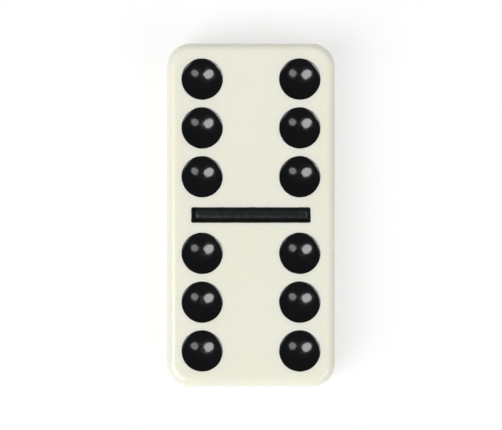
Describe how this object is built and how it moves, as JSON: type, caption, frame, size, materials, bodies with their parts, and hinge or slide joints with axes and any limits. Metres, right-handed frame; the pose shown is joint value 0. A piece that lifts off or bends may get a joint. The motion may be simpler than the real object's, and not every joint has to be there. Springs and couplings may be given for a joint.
{
  "type": "domino tile",
  "caption": "Flat, round-edged ivory resin domino tile with black enamelled concave pips on both halves of its face and a black enamelled divider channel between them.",
  "frame": {"origin": "centre of the flat back face, on which the tile lies", "axes": "+Z out of the front face with the pips, +Y along the tile's length towards its upper half, +X across its width"},
  "size_m": [0.024, 0.049, 0.0095],
  "materials": {
    "ivory_resin": "polished ivory-coloured moulded resin",
    "black_enamel": "glossy black enamel film"
  },
  "bodies": {
    "root": {"tile_body": "ivory_resin", "divider_enamel": "black_enamel", "pip_upper_left_inner": "black_enamel", "pip_upper_left_middle": "black_enamel", "pip_upper_left_outer": "black_enamel", "pip_upper_right_inner": "black_enamel", "pip_upper_right_middle": "black_enamel", "pip_upper_right_outer": "black_enamel", "pip_lower_left_inner": "black_enamel", "pip_lower_left_middle": "black_enamel", "pip_lower_left_outer": "black_enamel", "pip_lower_right_inner": "black_enamel", "pip_lower_right_middle": "black_enamel", "pip_lower_right_outer": "black_enamel"}
  },
  "joints": []
}
